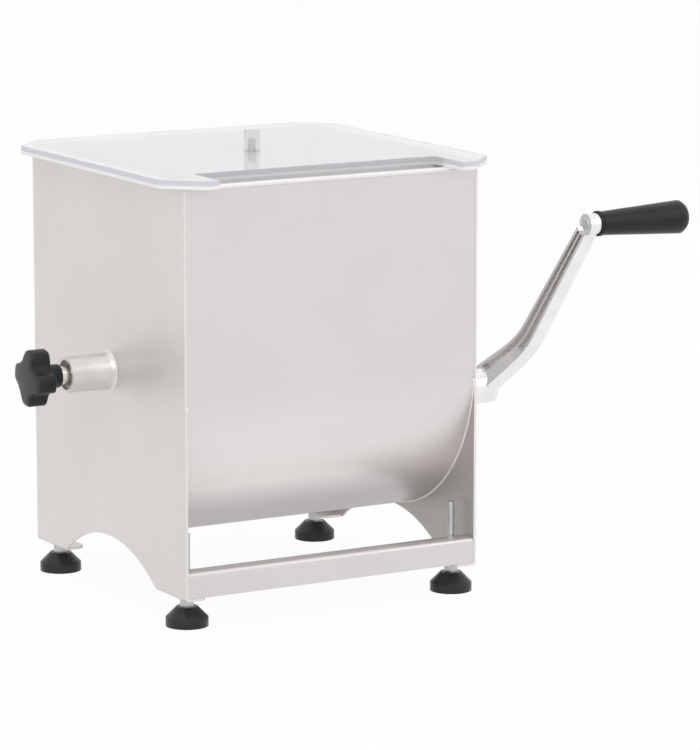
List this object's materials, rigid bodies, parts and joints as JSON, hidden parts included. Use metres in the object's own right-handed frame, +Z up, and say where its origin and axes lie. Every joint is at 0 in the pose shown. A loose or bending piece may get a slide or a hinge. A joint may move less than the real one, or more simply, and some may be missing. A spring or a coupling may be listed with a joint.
{
  "type": "hand crank meat mixer",
  "caption": "Hand crank meat mixer: stainless tub on levelling feet with a clear notched lid, removable paddle, reduction gear and cranked handle.",
  "frame": {"origin": "on the floor under the middle of the overall length and depth", "axes": "+X along the paddle axis towards the crank, -Y to the front with the lid's notch, +Z up"},
  "size_m": [0.5296, 0.279, 0.3515],
  "materials": {
    "stainless": "fine brushed",
    "machined_steel": "machined",
    "cast_aluminium": "polished casting",
    "bearing_bronze": "satin",
    "black_plastic": "satin moulded",
    "foot_rubber": "moulded",
    "seal_rubber": "moulded",
    "clear_acrylic": "clear polished"
  },
  "bodies": {
    "tub": {"left_end_plate": "stainless", "right_end_plate": "stainless", "tub_shell": "stainless", "front_rail": "stainless", "foot_weld_nuts": "machined_steel", "pivot_boss": "stainless", "pivot_bush": "bearing_bronze", "paddle_bush": "bearing_bronze", "paddle_seal": "seal_rubber", "pinion_support": "bearing_bronze", "gearbox_gasket": "seal_rubber", "gearbox_housing": "cast_aluminium", "gearbox_studs": "machined_steel", "gearbox_nuts": "machined_steel", "crank_bush": "bearing_bronze"},
    "paddle": {"paddle_shaft": "stainless", "paddle_blade_1": "stainless", "paddle_blade_2": "stainless", "paddle_blade_3": "stainless", "paddle_blade_4": "stainless", "output_shaft": "machined_steel", "gear_key": "machined_steel", "drive_gear": "machined_steel", "gear_retaining_ring": "machined_steel"},
    "crank": {"crank_shaft": "machined_steel", "crank_pinion": "machined_steel", "crank_washer": "machined_steel", "crank_arm": "cast_aluminium", "crank_grub_screw": "machined_steel", "grip_spindle": "machined_steel"},
    "grip": {"crank_grip": "black_plastic"},
    "pivot_slide": {"pivot_washer": "machined_steel"},
    "pivot_knob": {"pivot_pin": "machined_steel", "star_knob": "black_plastic"},
    "lid": {"lid_sheet": "clear_acrylic", "lid_knob": "clear_acrylic", "lid_knob_screw": "machined_steel"},
    "foot_front_left": {"foot_pad_front_left": "foot_rubber", "foot_stud_front_left": "machined_steel"},
    "foot_front_right": {"foot_pad_front_right": "foot_rubber", "foot_stud_front_right": "machined_steel"},
    "foot_rear_left": {"foot_pad_rear_left": "foot_rubber", "foot_stud_rear_left": "machined_steel"},
    "foot_rear_right": {"foot_pad_rear_right": "foot_rubber", "foot_stud_rear_right": "machined_steel"}
  },
  "joints": [
    {"name": "crank_turn", "type": "hinge", "parent": "tub", "child": "crank", "pos_m": [0.11428, 0, 0.134], "axis": [1, 0, 0], "continuous": true},
    {"name": "paddle_turn", "type": "hinge", "parent": "tub", "child": "paddle", "pos_m": [-0.07013, 0, 0.176], "axis": [1, 0, 0], "continuous": true},
    {"name": "grip_spin", "type": "hinge", "parent": "crank", "child": "grip", "pos_m": [0.18432, -0.09135, 0.27201], "axis": [1, 0, 0], "continuous": true},
    {"name": "pivot_withdraw", "type": "slide", "parent": "tub", "child": "pivot_slide", "axis": [-1, 0, 0], "range_m": [0, 0.0165]},
    {"name": "knob_turn", "type": "hinge", "parent": "pivot_slide", "child": "pivot_knob", "pos_m": [-0.23633, 0, 0.176], "axis": [-1, 0, 0], "range_deg": [0, 1980]},
    {"name": "lid_lift", "type": "slide", "parent": "tub", "child": "lid", "axis": [0, 0, 1], "range_m": [0, 0.15]},
    {"name": "foot_front_left_level", "type": "slide", "parent": "tub", "child": "foot_front_left", "axis": [0, 0, -1], "range_m": [0, 0.03]},
    {"name": "foot_front_right_level", "type": "slide", "parent": "tub", "child": "foot_front_right", "axis": [0, 0, -1], "range_m": [0, 0.03]},
    {"name": "foot_rear_left_level", "type": "slide", "parent": "tub", "child": "foot_rear_left", "axis": [0, 0, -1], "range_m": [0, 0.03]},
    {"name": "foot_rear_right_level", "type": "slide", "parent": "tub", "child": "foot_rear_right", "axis": [0, 0, -1], "range_m": [0, 0.03]}
  ],
  "couplings": [
    {"joint": "paddle_turn", "follows": "crank_turn", "ratio": -0.4359},
    {"joint": "pivot_withdraw", "follows": "knob_turn", "m_per_rad": 0.00047746}
  ]
}
